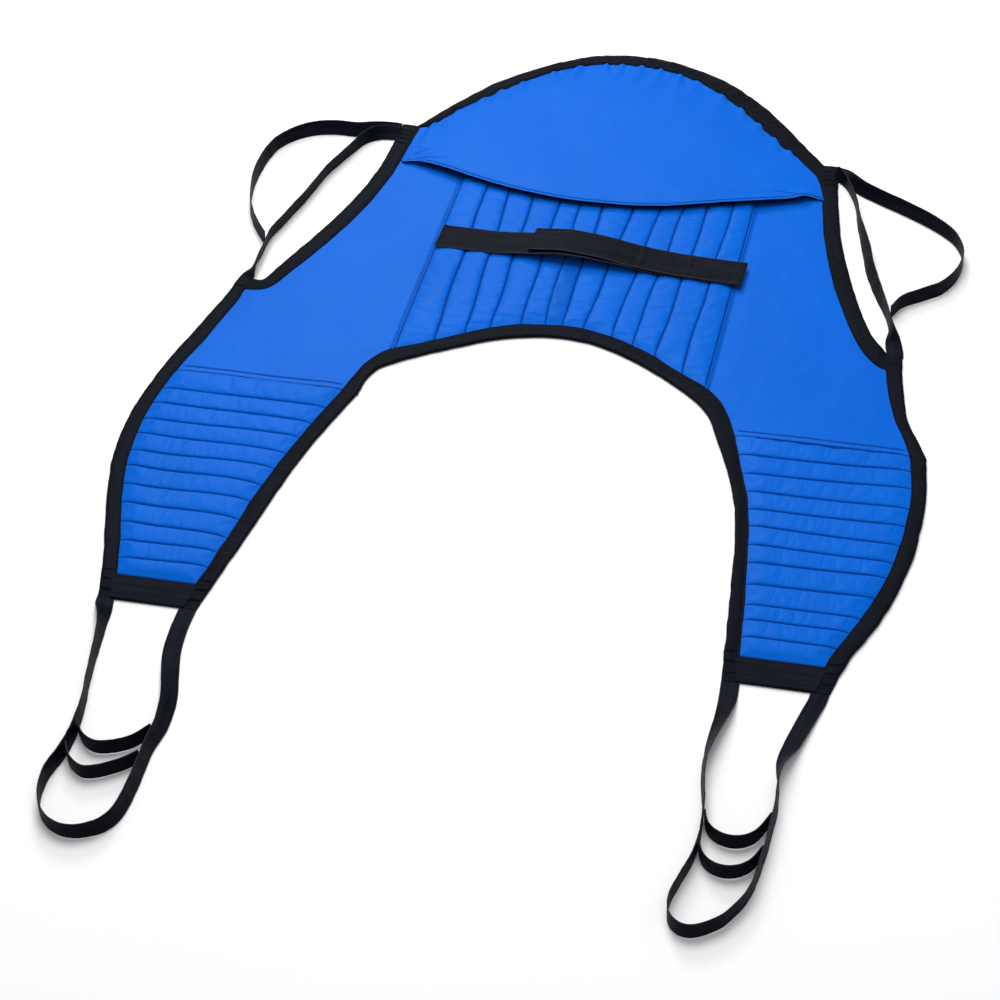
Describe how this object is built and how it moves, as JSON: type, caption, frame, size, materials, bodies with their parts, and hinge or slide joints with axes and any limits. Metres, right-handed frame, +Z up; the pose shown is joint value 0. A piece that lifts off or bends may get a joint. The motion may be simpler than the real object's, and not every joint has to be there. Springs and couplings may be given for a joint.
{
  "type": "patient lift sling",
  "caption": "Padded U-shaped patient lift sling laid open, with divided legs, a head pocket, a back handle, and webbing loops at the shoulders and leg ends.",
  "frame": {"origin": "centre of the sling's footprint, on the floor it lies on", "axes": "+X across the sling, to the right seen from above with the head end away, +Y towards the head end, +Z up from the floor"},
  "size_m": [1.1761, 1.9258, 0.0334],
  "materials": {
    "blue_polyester": "smooth satin weave",
    "black_webbing": "ribbed webbing",
    "foam": "matte foam"
  },
  "bodies": {
    "torso": {"back_liner": "blue_polyester", "back_pad_foam": "foam", "back_pad_cover": "blue_polyester", "side_panel_left": "blue_polyester", "side_panel_right": "blue_polyester", "arm_binding_left": "black_webbing", "arm_binding_right": "black_webbing", "hip_binding_left": "black_webbing", "hip_binding_right": "black_webbing", "crotch_binding": "black_webbing", "pocket_front": "blue_polyester", "handle_base": "black_webbing", "handle_grip": "black_webbing"},
    "head_section": {"head_binding": "black_webbing", "head_panel": "blue_polyester", "head_pocket": "blue_polyester"},
    "pocket_free_edge": {"pocket_lip": "blue_polyester", "pocket_hem": "blue_polyester"},
    "thigh_left": {"thigh_liner_left": "blue_polyester", "thigh_foam_left": "foam", "thigh_cover_left": "blue_polyester", "thigh_outer_binding_left": "black_webbing", "thigh_inner_binding_left": "black_webbing", "leg_band_left": "black_webbing"},
    "leg_loops_left": {"leg_loop_left": "black_webbing", "leg_loop_rung_upper_left": "black_webbing", "leg_loop_rung_lower_left": "black_webbing"},
    "shoulder_loops_left": {"shoulder_loop_left": "black_webbing", "shoulder_strap_left": "black_webbing"},
    "thigh_right": {"thigh_liner_right": "blue_polyester", "thigh_foam_right": "foam", "thigh_cover_right": "blue_polyester", "thigh_outer_binding_right": "black_webbing", "thigh_inner_binding_right": "black_webbing", "leg_band_right": "black_webbing"},
    "leg_loops_right": {"leg_loop_right": "black_webbing", "leg_loop_rung_upper_right": "black_webbing", "leg_loop_rung_lower_right": "black_webbing"},
    "shoulder_loops_right": {"shoulder_loop_right": "black_webbing", "shoulder_strap_right": "black_webbing"}
  },
  "joints": [
    {"name": "head_fold", "type": "hinge", "parent": "torso", "child": "head_section", "pos_m": [0, 0.685, 0.0187], "axis": [1, 0, 0], "range_deg": [0, 120]},
    {"name": "pocket_edge_lift", "type": "hinge", "parent": "torso", "child": "pocket_free_edge", "pos_m": [0, 0.587, 0.0192], "axis": [-1, 0, 0], "range_deg": [0, 60]},
    {"name": "thigh_fold_left", "type": "hinge", "parent": "torso", "child": "thigh_left", "pos_m": [-0.42, -0.023, 0.0108], "axis": [-1, 0, 0], "range_deg": [0, 120]},
    {"name": "thigh_fold_right", "type": "hinge", "parent": "torso", "child": "thigh_right", "pos_m": [0.42, -0.023, 0.0108], "axis": [-1, 0, 0], "range_deg": [0, 120]},
    {"name": "leg_loop_swing_left", "type": "hinge", "parent": "thigh_left", "child": "leg_loops_left", "pos_m": [-0.435, -0.5234, 0.0062], "axis": [-1, 0, 0], "range_deg": [0, 90]},
    {"name": "leg_loop_swing_right", "type": "hinge", "parent": "thigh_right", "child": "leg_loops_right", "pos_m": [0.434, -0.5234, 0.0062], "axis": [-1, 0, 0], "range_deg": [0, 90]},
    {"name": "shoulder_loop_swing_left", "type": "hinge", "parent": "torso", "child": "shoulder_loops_left", "pos_m": [-0.378, 0.663, 0.0128], "axis": [0.288, 0.9576, 0], "range_deg": [0, 110]},
    {"name": "shoulder_loop_swing_right", "type": "hinge", "parent": "torso", "child": "shoulder_loops_right", "pos_m": [0.36, 0.663, 0.0128], "axis": [0.3, -0.9539, 0], "range_deg": [0, 110]}
  ]
}
